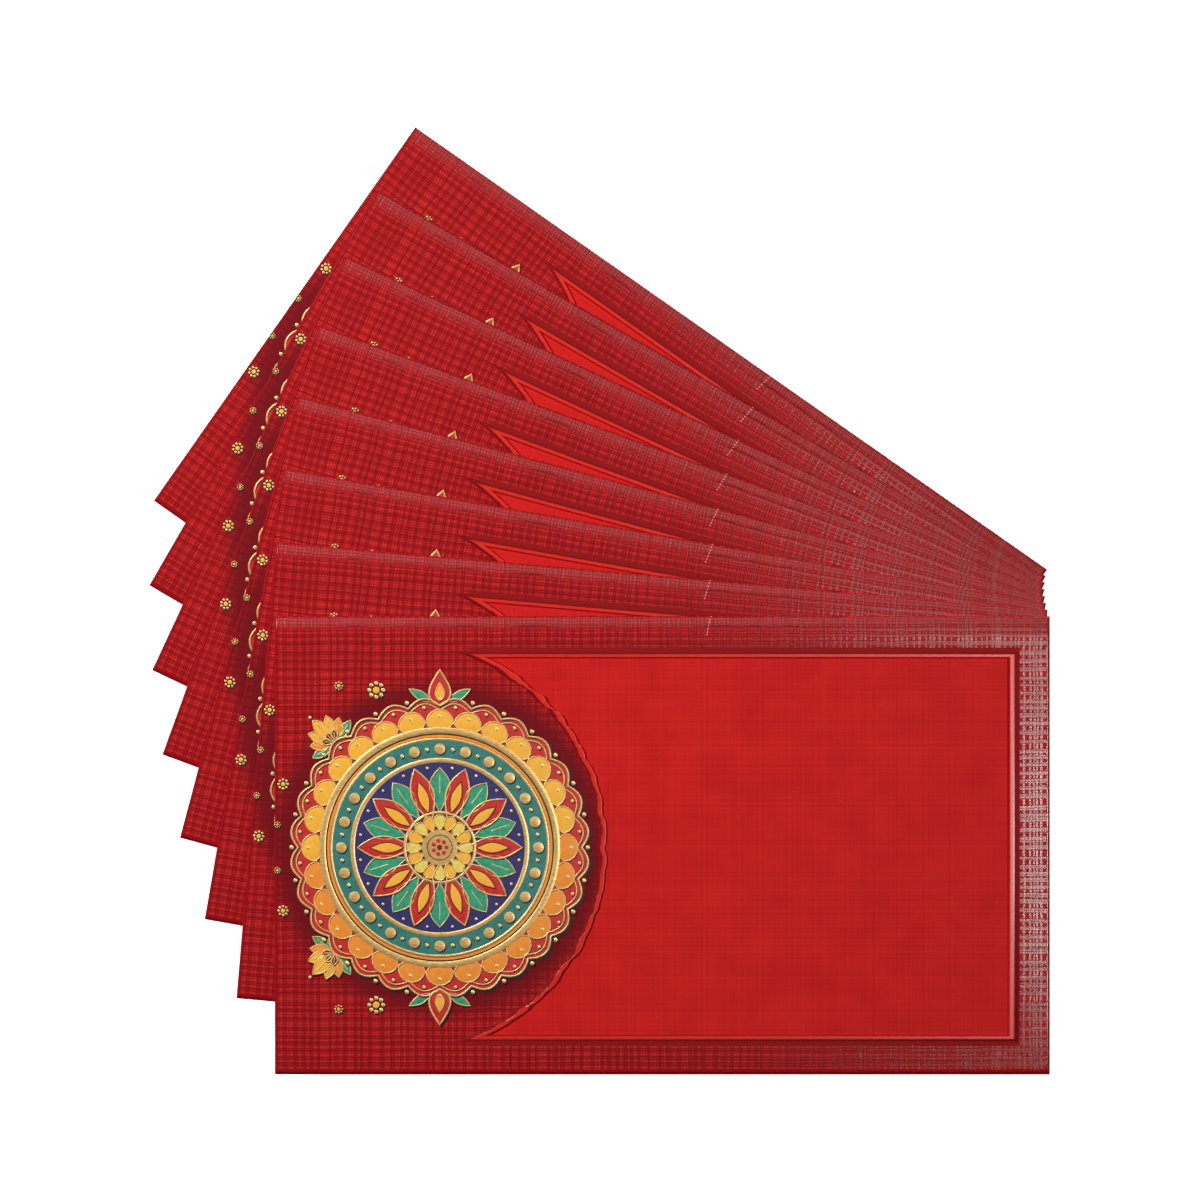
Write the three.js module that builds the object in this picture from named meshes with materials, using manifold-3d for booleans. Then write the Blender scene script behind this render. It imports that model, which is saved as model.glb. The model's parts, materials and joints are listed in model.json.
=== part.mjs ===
// A fan of eight gift money envelopes, laid face up.
// Each envelope is a creased sheet of card folded into a pocket, with a closure flap on its top
// long edge, a raised linen varnish coat on its front and a foil medallion at the left.
// Millimetres, +Z up. The origin is under the middle of the fan, on the surface it lies on.

import * as THREE from 'three';
import { mergeVertices } from 'three/addons/utils/BufferGeometryUtils.js';
import Module from 'manifold-3d';

const wasm = await Module();
wasm.setup();

// The envelope
const envelopeWidth = 186;
const envelopeHeight = 110;
const cardThickness = 0.25;
const layerGap = 0.05; // glue line, or air, between two layers that lie on each other

// The fan
const envelopeCount = 8;
const fanStepDegrees = 5; // each envelope is turned this much clockwise from the one above it
const pivotPastRightEdge = 17.8;
const pivotPastTopEdge = 5.8;

// The back card and the flaps
const backSideInset = 1;
const mouthDepth = 9; // from the top fold down to the back card's free edge
const seamFlapWidth = 15;
const seamFlapTaper = 5; // how far each end of a seam flap is cut back at its free edge
const seamEndInset = 2;
const closureDepth = 38;
const closureSideInset = 1.5;
const closureCornerRadius = 12;
const creaseClearance = 0.06; // between the turning flap and the round of its crease

// The writing panel
const panelTopInset = 9.4;
const panelBottomInset = 8.4;
const panelRightInset = 10.3;
const arcReach = 79.9; // from the left edge to where the panel's arc bulges furthest right
const arcShoulder = 5.2; // the arc's radius is this much more than half the panel's height
const panelPressInset = 0.35; // from the bead's foot in to the edge of the pressed panel
const panelPressDepth = 0.05;

// The linen coat and the bead round the panel
const coatThickness = 0.1;
const coatEdgeInset = 0.9;
const beadWidth = 1.3;
const beadHeight = 0.3;
const beadShoulder = 0.3; // how far in from each foot the bead reaches its full height

// The medallion
const medallionLeftMargin = 3.1;
const medallionArcMargin = 2.5;
const medallionPlateThickness = 0.16;
const scallopCount = 28;
const scallopDepth = 1.8;
const outerHoopRadius = 28.5; // to the middle of the hoop's band
const innerHoopRadius = 21.3;
const hoopWidth = 1.4;
const hoopHeight = 0.16;
const petalCount = 10;
const petalReach = 20;
const petalRoot = 10.5;
const petalShoulder = 0.32; // share of a petal's length where it is widest
const petalHalfAngle = 0.32; // share of the petals' pitch, at the widest place
const petalHeight = 0.12;
const discRadius = 8.6;
const discHeight = 0.08;
const bossRadius = 4.3;
const bossHeight = 0.1;
const finialReach = 6.5; // the drop's point, past the scallops
const finialWidth = 7;
const finialRound = 0.7; // share of half a turn that the drop's round end takes on each side
const joinDepth = 0.04; // how far a raised form sinks into the form that carries it
const cutMargin = 1; // how far a cutting form stands out of what it cuts

// Facets
const foldFacets = 4; // in a quarter turn of a fold
const arcFacets = 20;
const cornerFacets = 5;
const scallopFacets = 3;
const discFacets = 18;

const colours = {
  card: { color: '#b41f24', roughness: 0.6, metalness: 0 },
  cardBack: { color: '#a81d22', roughness: 0.7, metalness: 0 },
  linenCoat: { color: '#a32326', roughness: 0.35, metalness: 0 },
  foil: { color: '#c9a15a', roughness: 0.35, metalness: 0.7 },
};

// Heights of the layers, from the closure flap's underside up
const flapBottom = 0;
const flapTop = flapBottom + cardThickness;
const backBottom = flapTop + layerGap;
const backTop = backBottom + cardThickness;
const seamBottom = backTop + layerGap;
const seamTop = seamBottom + cardThickness;
const frontBottom = seamTop + layerGap;
const frontTop = frontBottom + cardThickness;
const coatBottom = frontTop + layerGap;
const coatTop = coatBottom + coatThickness;
const beadTop = coatBottom + beadHeight;
const medallionBottom = coatTop + layerGap;
const plateTop = medallionBottom + medallionPlateThickness;
const petalTop = plateTop + petalHeight;
const discTop = petalTop + discHeight;
const bossTop = discTop + bossHeight;
const pilePitch = Math.max(bossTop, beadTop) + layerGap;

// Edges of the folded envelope, and the radius of each rounded fold
const rightEdge = envelopeWidth / 2;
const topEdge = envelopeHeight / 2;
const topFoldRadius = (frontTop - flapBottom) / 2;
const bottomFoldRadius = (frontTop - backBottom) / 2;
const sideFoldRadius = (frontTop - seamBottom) / 2;
const creaseY = topEdge - topFoldRadius;

// The panel: three straight sides, and at the left an arc that bulges into it
const panelTop = topEdge - panelTopInset;
const panelBottom = panelBottomInset - topEdge;
const panelRight = rightEdge - panelRightInset;
const panelMiddle = (panelTop + panelBottom) / 2;
const arcRadius = (panelTop - panelBottom) / 2 + arcShoulder;
const arcCentreX = arcReach - rightEdge - arcRadius;

// The medallion fills the space between the left edge and the bead on the arc
const medallionRadius = (arcReach - beadWidth - medallionArcMargin - medallionLeftMargin) / 2;
const medallionX = medallionLeftMargin + medallionRadius - rightEdge;

function toManifold(geometry) {
  const bare = geometry.clone();
  bare.deleteAttribute('normal');
  bare.deleteAttribute('uv');
  const merged = mergeVertices(bare, 1e-5);
  return new wasm.Manifold(new wasm.Mesh({
    numProp: 3,
    vertProperties: new Float32Array(merged.attributes.position.array),
    triVerts: new Uint32Array(merged.index.array),
  }));
}

function toGeometry(solid) {
  const { vertProperties, triVerts } = solid.getMesh();
  const geometry = new THREE.BufferGeometry();
  geometry.setAttribute('position', new THREE.BufferAttribute(vertProperties, 3));
  geometry.setIndex(new THREE.BufferAttribute(triVerts, 1));
  geometry.computeVertexNormals();
  return geometry;
}

// A plan outline made into a plate from one height to another
function plate(outline, bottom, top) {
  const extrusion = { depth: top - bottom, bevelEnabled: false };
  return new THREE.ExtrudeGeometry(outline, extrusion).translate(0, 0, bottom);
}

// A section drawn across the fold (first axis) and up (second axis), run along x
function sectionAlongX(section, length) {
  const geometry = plate(section, -length / 2, length / 2);
  const sectionToWorld = new THREE.Matrix4().makeBasis(
    new THREE.Vector3(0, 1, 0),
    new THREE.Vector3(0, 0, 1),
    new THREE.Vector3(1, 0, 0),
  );
  return geometry.applyMatrix4(sectionToWorld);
}

// The same section run along y: its first axis points along +x
function sectionAlongY(section, length) {
  return plate(section, -length / 2, length / 2).rotateX(Math.PI / 2);
}

function pointOnCircle(centreX, centreY, radius, angle) {
  return new THREE.Vector2(centreX + radius * Math.cos(angle), centreY + radius * Math.sin(angle));
}

// A run of points round a circle, both ends included
function arcPoints(centreX, centreY, radius, start, end, facets) {
  return Array.from({ length: facets + 1 }, (_, i) =>
    pointOnCircle(centreX, centreY, radius, start + ((end - start) * i) / facets));
}

// A sheet that lies level and curls down through a fold at its outer end.
// Counted outwards from flatStart, the fold's outside reaches foldEnd.
function foldedSection(flatStart, foldEnd, sheetTop, foldRadius, turn) {
  const centre = foldEnd - foldRadius;
  const height = sheetTop - foldRadius;
  const upright = Math.PI / 2;
  const facets = Math.round((foldFacets * turn) / upright);
  const inner = foldRadius - cardThickness;
  return [
    new THREE.Vector2(flatStart, sheetTop - cardThickness),
    ...arcPoints(centre, height, inner, upright, upright - turn, facets),
    ...arcPoints(centre, height, foldRadius, upright - turn, upright, facets),
    new THREE.Vector2(flatStart, sheetTop),
  ];
}

// The front card: level in the middle with the writing panel pressed into it, half a turn of
// fold for the closure flap's crease, and a quarter turn at each of the other three edges
function frontCard() {
  const topHalf = foldedSection(0, topEdge, frontTop, topFoldRadius, Math.PI);
  const bottomHalf = foldedSection(0, topEdge, frontTop, bottomFoldRadius, Math.PI / 2)
    .map((point) => new THREE.Vector2(-point.x, point.y))
    .reverse();
  const across = new THREE.Shape([...topHalf.slice(1, -1), ...bottomHalf.slice(1, -1)]);
  const levelWidth = envelopeWidth - 2 * sideFoldRadius;
  let card = toManifold(sectionAlongX(across, levelWidth));
  const edge = foldedSection(
    rightEdge - sideFoldRadius - joinDepth, rightEdge, frontTop, sideFoldRadius, Math.PI / 2);
  const sideLength = envelopeHeight - topFoldRadius - bottomFoldRadius;
  const sideMiddle = (bottomFoldRadius - topFoldRadius) / 2;
  for (const side of [1, -1]) {
    const points = edge.map((point) => new THREE.Vector2(side * point.x, point.y));
    const strip = sectionAlongY(new THREE.Shape(points), sideLength).translate(0, sideMiddle, 0);
    card = card.add(toManifold(strip));
  }
  const pressed = new THREE.Shape(panelOutline(-panelPressInset));
  const press = plate(pressed, frontTop - panelPressDepth, frontTop + cutMargin);
  return toGeometry(card.subtract(toManifold(press)));
}

// The back card: level, with the lower half of the bottom fold along its lower edge
function backCard() {
  const upperEdge = topEdge - mouthDepth;
  const centre = bottomFoldRadius - topEdge;
  const height = backBottom + bottomFoldRadius;
  const inner = bottomFoldRadius - cardThickness;
  const section = new THREE.Shape([
    new THREE.Vector2(upperEdge, backTop),
    ...arcPoints(centre, height, inner, -Math.PI / 2, -Math.PI, foldFacets),
    ...arcPoints(centre, height, bottomFoldRadius, -Math.PI, -Math.PI / 2, foldFacets),
    new THREE.Vector2(upperEdge, backBottom),
  ]);
  return sectionAlongX(section, envelopeWidth - 2 * backSideInset);
}

// A seam flap: level, with the lower half of its side fold, its ends cut back to a taper.
// side is 1 for the right one and -1 for the left one.
function seamFlap(side) {
  const centre = rightEdge - sideFoldRadius;
  const height = seamBottom + sideFoldRadius;
  const inner = sideFoldRadius - cardThickness;
  const freeEdge = rightEdge - seamFlapWidth;
  const points = [
    new THREE.Vector2(freeEdge, seamTop),
    ...arcPoints(centre, height, inner, -Math.PI / 2, 0, foldFacets),
    ...arcPoints(centre, height, sideFoldRadius, 0, -Math.PI / 2, foldFacets),
    new THREE.Vector2(freeEdge, seamBottom),
  ].map((point) => new THREE.Vector2(side * point.x, point.y));
  const strip = sectionAlongY(new THREE.Shape(points), envelopeHeight);

  const foldEndTop = creaseY - seamEndInset;
  const foldEndBottom = seamEndInset + bottomFoldRadius - topEdge;
  const outside = rightEdge + cutMargin;
  const plan = new THREE.Shape([
    new THREE.Vector2(side * outside, foldEndBottom),
    new THREE.Vector2(side * outside, foldEndTop),
    new THREE.Vector2(side * freeEdge, foldEndTop - seamFlapTaper),
    new THREE.Vector2(side * freeEdge, foldEndBottom + seamFlapTaper),
  ]);
  const cutter = plate(plan, seamBottom - cutMargin, frontTop + cutMargin);
  return toGeometry(toManifold(strip).intersect(toManifold(cutter)));
}

// The closure flap: level, its free corners rounded. Its near edge stands clear of the crease's
// round by creaseClearance, so it turns half a turn about the crease without touching it.
function closureFlap() {
  const cornerReach = topFoldRadius + creaseClearance;
  const shoulder = topFoldRadius - cardThickness;
  const nearEdge = creaseY - Math.sqrt(cornerReach ** 2 - shoulder ** 2);
  const farEdge = creaseY - closureDepth;
  const halfWidth = rightEdge - closureSideInset;
  const cornerX = halfWidth - closureCornerRadius;
  const cornerY = farEdge + closureCornerRadius;
  const outline = new THREE.Shape([
    new THREE.Vector2(halfWidth, nearEdge),
    new THREE.Vector2(-halfWidth, nearEdge),
    ...arcPoints(-cornerX, cornerY, closureCornerRadius, Math.PI, 1.5 * Math.PI, cornerFacets),
    ...arcPoints(cornerX, cornerY, closureCornerRadius, 1.5 * Math.PI, 2 * Math.PI, cornerFacets),
  ]);
  return plate(outline, flapBottom, flapTop);
}

// The writing panel's outline, moved outwards by grow: two pointed tips where the arc meets
// the long straight sides
function panelOutline(grow) {
  const radius = arcRadius - grow;
  const halfSpan = (panelTop - panelBottom) / 2 + grow;
  const tipAngle = Math.asin(halfSpan / radius);
  return [
    new THREE.Vector2(panelRight + grow, panelMiddle - halfSpan),
    new THREE.Vector2(panelRight + grow, panelMiddle + halfSpan),
    ...arcPoints(arcCentreX, panelMiddle, radius, tipAngle, -tipAngle, arcFacets),
  ];
}

// The bead: a section of [distance out from the panel, height] corners, run round the panel
function panelBead() {
  const section = [
    [0, coatBottom],
    [beadShoulder, beadTop],
    [beadWidth - beadShoulder, beadTop],
    [beadWidth, coatBottom],
  ];
  const rings = section.map(([grow, height]) =>
    panelOutline(grow).map((point) => [point.x, point.y, height]));
  const count = rings[0].length;
  const indices = [];
  for (let ring = 0; ring < rings.length; ring += 1) {
    const nextRing = (ring + 1) % rings.length;
    for (let i = 0; i < count; i += 1) {
      const next = (i + 1) % count;
      const here = ring * count;
      const there = nextRing * count;
      indices.push(here + i, there + next, here + next);
      indices.push(here + i, there + i, there + next);
    }
  }
  const geometry = new THREE.BufferGeometry();
  geometry.setAttribute('position', new THREE.Float32BufferAttribute(rings.flat(2), 3));
  geometry.setIndex(indices);
  return geometry;
}

// The linen coat: a thin coat over the front except the panel, with a raised bead round it
function linenCoat() {
  const halfWidth = rightEdge - coatEdgeInset;
  const halfHeight = topEdge - coatEdgeInset;
  const field = new THREE.Shape([
    new THREE.Vector2(-halfWidth, -halfHeight),
    new THREE.Vector2(halfWidth, -halfHeight),
    new THREE.Vector2(halfWidth, halfHeight),
    new THREE.Vector2(-halfWidth, halfHeight),
  ]);
  field.holes.push(new THREE.Path(panelOutline(beadWidth - beadShoulder)));
  const coat = toManifold(plate(field, coatBottom, coatTop));
  return toGeometry(coat.add(toManifold(panelBead())));
}

// The medallion's plate: a disc whose rim is a ring of round scallops
function scallopOutline() {
  const stepAngle = (2 * Math.PI) / scallopCount;
  const points = [];
  for (let i = 0; i < scallopCount; i += 1) {
    for (let j = 0; j < scallopFacets; j += 1) {
      const part = j / scallopFacets;
      const radius = medallionRadius - scallopDepth * (1 - Math.sin(Math.PI * part));
      points.push(pointOnCircle(medallionX, panelMiddle, radius, (i + part) * stepAngle));
    }
  }
  return new THREE.Shape(points);
}

// A raised hoop round the medallion's middle
function hoopOutline(radius) {
  const circle = (reach) =>
    arcPoints(medallionX, panelMiddle, reach, 0, 2 * Math.PI, discFacets).slice(1);
  const hoop = new THREE.Shape(circle(radius + hoopWidth / 2));
  hoop.holes.push(new THREE.Path(circle(radius - hoopWidth / 2)));
  return hoop;
}

// A ring of pointed petals round the middle disc
function petalOutline() {
  const stepAngle = (2 * Math.PI) / petalCount;
  const shoulderReach = petalRoot + petalShoulder * (petalReach - petalRoot);
  const spread = petalHalfAngle * stepAngle;
  const points = [];
  for (let i = 0; i < petalCount; i += 1) {
    const angle = i * stepAngle;
    points.push(pointOnCircle(medallionX, panelMiddle, petalRoot, angle - stepAngle / 2));
    points.push(pointOnCircle(medallionX, panelMiddle, shoulderReach, angle - spread));
    points.push(pointOnCircle(medallionX, panelMiddle, petalReach, angle));
    points.push(pointOnCircle(medallionX, panelMiddle, shoulderReach, angle + spread));
  }
  return new THREE.Shape(points);
}

// A drop with its round end on the plate and its point outwards. direction is 1 for the drop
// above the medallion and -1 for the one below it.
function finialOutline(direction) {
  const round = finialWidth / 2;
  const centreReach = medallionRadius - scallopDepth + round / 2;
  const tipReach = medallionRadius + finialReach;
  const inwards = 1.5 * Math.PI;
  const sweep = finialRound * Math.PI;
  const drop = [
    ...arcPoints(0, centreReach, round, inwards - sweep, inwards + sweep, 2 * cornerFacets),
    new THREE.Vector2(0, tipReach),
  ];
  return new THREE.Shape(drop.map((point) =>
    new THREE.Vector2(medallionX + point.x, panelMiddle + direction * point.y)));
}

function foilMedallion() {
  let medallion = toManifold(plate(scallopOutline(), medallionBottom, plateTop));
  for (const direction of [1, -1]) {
    const finial = plate(finialOutline(direction), medallionBottom, plateTop);
    medallion = medallion.add(toManifold(finial));
  }
  for (const radius of [outerHoopRadius, innerHoopRadius]) {
    const hoop = plate(hoopOutline(radius), plateTop - joinDepth, plateTop + hoopHeight);
    medallion = medallion.add(toManifold(hoop));
  }
  medallion = medallion.add(toManifold(plate(petalOutline(), plateTop - joinDepth, petalTop)));
  const disc = new THREE.CylinderGeometry(
    discRadius, discRadius, discTop - petalTop + joinDepth, discFacets);
  disc.rotateX(Math.PI / 2);
  disc.translate(medallionX, panelMiddle, (discTop + petalTop - joinDepth) / 2);
  medallion = medallion.add(toManifold(disc));
  const boss = new THREE.CylinderGeometry(
    bossRadius - bossHeight, bossRadius, bossTop - discTop + joinDepth, discFacets);
  boss.rotateX(Math.PI / 2);
  boss.translate(medallionX, panelMiddle, (bossTop + discTop - joinDepth) / 2);
  medallion = medallion.add(toManifold(boss));
  return toGeometry(medallion);
}

const geometries = {
  front_card: [frontCard(), colours.card],
  back_card: [backCard(), colours.cardBack],
  seam_flap_left: [seamFlap(-1), colours.cardBack],
  seam_flap_right: [seamFlap(1), colours.cardBack],
  closure_flap: [closureFlap(), colours.card],
  linen_coat: [linenCoat(), colours.linenCoat],
  foil_medallion: [foilMedallion(), colours.foil],
};

// One envelope, centred on its own middle. number is 1 for the one on top of the pile.
function envelope(number) {
  const group = new THREE.Group();
  for (const [name, [geometry, colour]] of Object.entries(geometries)) {
    const mesh = new THREE.Mesh(geometry, new THREE.MeshStandardMaterial(colour));
    mesh.name = `${name}_${number}`;
    group.add(mesh);
  }
  return group;
}

// The fan: all envelopes turn about one point just past their top right corners
const fan = new THREE.Group();
for (let number = 1; number <= envelopeCount; number += 1) {
  const turned = new THREE.Group();
  const placed = envelope(number);
  placed.position.set(-rightEdge - pivotPastRightEdge, -topEdge - pivotPastTopEdge, 0);
  turned.add(placed);
  turned.rotation.z = -THREE.MathUtils.degToRad((number - 1) * fanStepDegrees);
  turned.position.z = (envelopeCount - number) * pilePitch;
  fan.add(turned);
}

const extent = new THREE.Box3().setFromObject(fan, true);
const middle = extent.getCenter(new THREE.Vector3());
fan.position.set(-middle.x, -middle.y, 0);

const group = new THREE.Group();
group.add(fan);

export default group;
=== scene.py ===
import json
import math
import random
from functools import partial

import bmesh
import bpy
from mathutils import Matrix, Vector


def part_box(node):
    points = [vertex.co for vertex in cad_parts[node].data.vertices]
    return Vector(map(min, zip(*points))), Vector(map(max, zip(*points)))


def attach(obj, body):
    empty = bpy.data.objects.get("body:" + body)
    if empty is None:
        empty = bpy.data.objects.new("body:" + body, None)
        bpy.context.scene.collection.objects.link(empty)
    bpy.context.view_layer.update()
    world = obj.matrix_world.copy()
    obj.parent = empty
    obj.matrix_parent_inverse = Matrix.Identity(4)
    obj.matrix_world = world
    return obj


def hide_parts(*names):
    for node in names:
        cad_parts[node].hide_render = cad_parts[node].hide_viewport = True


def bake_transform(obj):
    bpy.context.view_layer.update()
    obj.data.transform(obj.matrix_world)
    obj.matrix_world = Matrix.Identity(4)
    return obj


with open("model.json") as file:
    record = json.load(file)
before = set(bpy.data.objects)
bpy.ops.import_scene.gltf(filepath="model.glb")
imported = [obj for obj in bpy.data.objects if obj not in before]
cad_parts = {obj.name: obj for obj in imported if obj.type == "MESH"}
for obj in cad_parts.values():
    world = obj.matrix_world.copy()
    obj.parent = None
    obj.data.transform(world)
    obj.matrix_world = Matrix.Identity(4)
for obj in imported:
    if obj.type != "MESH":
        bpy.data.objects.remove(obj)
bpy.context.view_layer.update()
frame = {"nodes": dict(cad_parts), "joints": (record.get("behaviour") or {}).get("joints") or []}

mm = 0.001
up = Vector((0, 0, 1))
joints = {joint["name"]: joint for joint in frame["joints"]}
numbers = sorted(int(name.rsplit("_", 1)[1]) for name in frame["nodes"] if name.startswith("front_card_"))

# The sheet's own millimetres: origin in the middle of the envelope, z from the flap's underside
cardLow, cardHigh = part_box("front_card_1")
flapLow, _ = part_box("closure_flap_1")
_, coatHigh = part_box("linen_coat_1")
medalLow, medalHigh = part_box("foil_medallion_1")
cardMiddle = (cardLow + cardHigh) / 2
halfWidth = (cardHigh.x - cardLow.x) / 2 / mm
halfHeight = (cardHigh.y - cardLow.y) / 2 / mm
frontTop = (cardHigh.z - flapLow.z) / mm
beadTop = (coatHigh.z - flapLow.z) / mm
medalBottom = (medalLow.z - flapLow.z) / mm
medalTop = (medalHigh.z - flapLow.z) / mm
medalX = ((medalLow.x + medalHigh.x) / 2 - cardMiddle.x) / mm
medalY = ((medalLow.y + medalHigh.y) / 2 - cardMiddle.y) / mm
medalRadius = (medalHigh.x - medalLow.x) / 2 / mm
finialReach = (medalHigh.y - medalLow.y) / 2 / mm
creaseY = (Vector(joints["flap_1_fold"]["pos_m"]).y - cardMiddle.y) / mm
creaseZ = (Vector(joints["flap_1_fold"]["pos_m"]).z - flapLow.z) / mm


def envelopePlace(number):  # from the sheet's millimetres to the place of one envelope
    joint = joints[f"flap_{number}_fold"]
    along = Vector(joint["axis"])
    across = up.cross(along)
    origin = Vector(joint["pos_m"]) - across * creaseY * mm - up * creaseZ * mm
    turn = Matrix((along, across, up)).transposed().to_4x4()
    return Matrix.Translation(origin) @ turn @ Matrix.Scale(mm, 4)


# Colours and nodes

def linear(hexColour, alpha=1.0):  # sRGB hex to the linear values that sockets take
    channels = [int(hexColour[i:i + 2], 16) / 255 for i in (1, 3, 5)]
    return [c / 12.92 if c <= 0.04045 else ((c + 0.055) / 1.055) ** 2.4 for c in channels] + [alpha]


def feed(node, inputs):  # each takes a value, a socket, or a node for its first working output
    for name, source in inputs.items():
        if isinstance(source, bpy.types.Node):
            source = next(output for output in source.outputs if output.enabled)
        if isinstance(source, bpy.types.NodeSocket):
            node.id_data.links.new(source, node.inputs[name])
        else:
            node.inputs[name].default_value = source


def addNode(tree, kind, inputs, **settings):
    node = tree.nodes.new("ShaderNode" + kind)
    for name, value in settings.items():
        setattr(node, name, value)
    feed(node, inputs)
    return node


def newMaterial(name, values):  # the material, addNode for its own tree, and its shader
    material = bpy.data.materials.new(name)
    material.use_nodes = True
    tree = material.node_tree
    shader = tree.nodes["Principled BSDF"]
    feed(shader, values)
    return material, partial(addNode, tree), shader


sheetMap = "sheet"  # UV map of each piece: the sheet's x and y in units of 100 mm
mapUnit = 100


def sheetPoint(add):  # the sheet's millimetres, read back from the map
    uv = add("UVMap", {}, uv_map=sheetMap)
    scale = (mapUnit, mapUnit, 1)
    return add("Mapping", {"Vector": uv, "Scale": scale})


# Materials

panelInk = {
    "light": "#d3221f",
    "dark": "#c0191b",
    "lightUpTo": 1.1,  # weave and cloud together, from 0 to 3, where the light ink ends
    "darkFrom": 1.9,
    "threadPitch": 0.7,  # mm, the weave that shows faintly through the ink
    "cloudSize": 9,
    "speckPitch": 9,  # mm between the stray specks of dust in the coat
    "speckRadius": 0.17,
    "speck": "#8e4a46",
    "relief": 0.00002,  # m
    "reliefShows": 0.35,
}


def makePanelInk():
    # Offset-printed art paper with a matt aqueous coat: even colour, a trace of the weave, no mirror
    material, add, shader = newMaterial("mattCoatedArtPaper", {
        "Roughness": 0.6, "Specular IOR Level": 0.03,
    })
    point = sheetPoint(add)
    split = add("SeparateXYZ", {"Vector": point})
    upright, sideways = [add("TexNoise", {
        "W": split.outputs[axis], "Scale": 1 / panelInk["threadPitch"], "Detail": 2.0, "Roughness": 0.6,
    }, noise_dimensions="1D") for axis in ("X", "Y")]
    weave = add("Math", {0: upright, 1: sideways}, operation="ADD")
    cloud = add("TexNoise", {
        "Vector": point, "Scale": 1 / panelInk["cloudSize"], "Detail": 3.0,
    }, noise_dimensions="2D")
    both = add("Math", {0: weave, 1: cloud}, operation="ADD")
    share = add("MapRange", {
        "Value": both, "From Min": panelInk["lightUpTo"], "From Max": panelInk["darkFrom"],
    })
    colour = add("Mix", {
        "Factor": share, 6: linear(panelInk["light"]), 7: linear(panelInk["dark"]),
    }, data_type="RGBA")
    cells = add("TexVoronoi", {
        "Vector": point, "Scale": 1 / panelInk["speckPitch"],
    }, voronoi_dimensions="2D")
    hashes = add("SeparateColor", {"Color": cells.outputs["Color"]})
    radius = add("Math", {
        0: hashes.outputs["Red"], 1: panelInk["speckRadius"] / panelInk["speckPitch"],
    }, operation="MULTIPLY")
    within = add("Math", {0: cells, 1: radius}, operation="LESS_THAN")
    specked = add("Mix", {"Factor": within, 6: colour, 7: linear(panelInk["speck"])}, data_type="RGBA")
    bump = add("Bump", {
        "Height": weave, "Strength": panelInk["reliefShows"], "Distance": panelInk["relief"],
    })
    feed(shader, {"Base Color": specked, "Normal": bump})
    return material


linen = {
    "ground": "#d42d2b",  # matt ground that shows in the windows between threads
    "groundDeep": "#c22022",
    "thread": "#b3191e",  # glossy varnish thread over the same ink
    "crossing": "#a20e14",
    "grooveShade": "#5e0a0e",  # painted shade: dark outlines along the thread edges and in the fine grooves
    # painted reflection: the smooth band outside the bead is a darker red, standing in for the dark its
    # flat face mirrors
    "darkReflectionBand": "#8e1819",
    "edge": "#920c14",  # painted shade: a smooth, darker edge without varnish, wider along the bottom fold
    "glow": "#681019",  # dark red-brown halo round the medallion, darkest at its rim
    # painted highlight: the pale pink of the glint row in the varnish
    "paintedGlint": "#d8a89c",
    "columnPitch": 2.1,  # mm, mean distance between threads, across and up
    "rowPitch": 1.95,
    "closeFrom": 15,  # x from which the upright threads lie closer and closer
    "closer": 0.0062,
    "threadHalf": 0.34,  # mm, half a thread's width
    "threadPatch": 1.0,  # how much wider threads get from one patch to another
    "widerFrom": 0,  # x from which threads get wider, up to the right edge
    "wider": 0.22,
    "threadEdge": 0.06,
    "patchPitch": 7,
    "outline": 0.75,  # how dark the painted shade of the outlines is
    "outlineReach": 0.13,
    "hairPitch": 0.72,  # fine dark lines, grooves with painted shade, that split the threads and cross the windows
    "hairReach": 0.13,
    "hair": 0.7,
    "lineCore": 0.03,  # mm from a line's middle where it is at full strength
    "rowGloss": 0.6,  # sideways threads are thinner, with less varnish
    "wobblePitch": 14,
    "wobble": 0.7,
    "relief": 0.000009,  # m
    "bandWidth": 0.85,  # smooth band outside the bead
    "bandRight": 1.2,
    "edgeSide": 0.4,
    "edgeBottom": 1.25,
    "glowReach": 7.5,  # mm past the medallion's rim
    "glowFull": 0.5,
    "glowMost": 0.88,
    "creaseReach": 2.6,  # mm below the crease where the sideways threads close up, which darkens the crease: partly the linen's pattern, partly painted shade
    "creaseEnd": 45,  # x past which they hardly do
    "creaseKeep": 0.15,
    "roundOver": 5.0,  # mm below the crease over which the sheet rounds over towards it
    "roundSlope": 0.42,  # its slope at the crease
    "glintX": 11.6,  # a short slanting row of painted glints, pale dots standing in for a lamp caught in the varnish, at the top edge
    "glintLean": 0.2,
    "glintLength": 4.8,
    "glintWidth": 0.22,
    "glintPitch": 0.72,
    "glintGap": 0.1,  # sine of the wave along the row, above which there is a painted glint
}

panel = {
    "topInset": 10.15,
    "bottomInset": 9.5,
    "rightInset": 10.2,
    "arcReach": 79.9,
    "arcShoulder": 5.2,
}
panelTop = halfHeight - panel["topInset"]
panelBottom = panel["bottomInset"] - halfHeight
panelRight = halfWidth - panel["rightInset"]
panelMiddle = (panelTop + panelBottom) / 2
panelHalf = (panelTop - panelBottom) / 2
arcRadius = panelHalf + panel["arcShoulder"]
arcX = panel["arcReach"] - halfWidth - arcRadius

bead = {
    "width": 1.8,
    "sideStretch": 1.7,  # the bead is wider along the right end
    "height": beadTop - frontTop,
    "foot": 0.003,
    "footInside": 0.02,  # how far the inner foot reaches in under the panel's edge
    "arcPoints": 150,
    "ragPitch": 2.3,  # mm between the wanders of the torn-looking arc
    "rag": 0.42,
    "ragFine": 0.15,
    "ragTie": 0.45,  # share of a second wander in the crest's outer edge
    "ragTips": 12,  # the wander fades in over one part in this many of the arc
    "arcWiden": 0.25,  # the crest is wider along the arc
}


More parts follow.
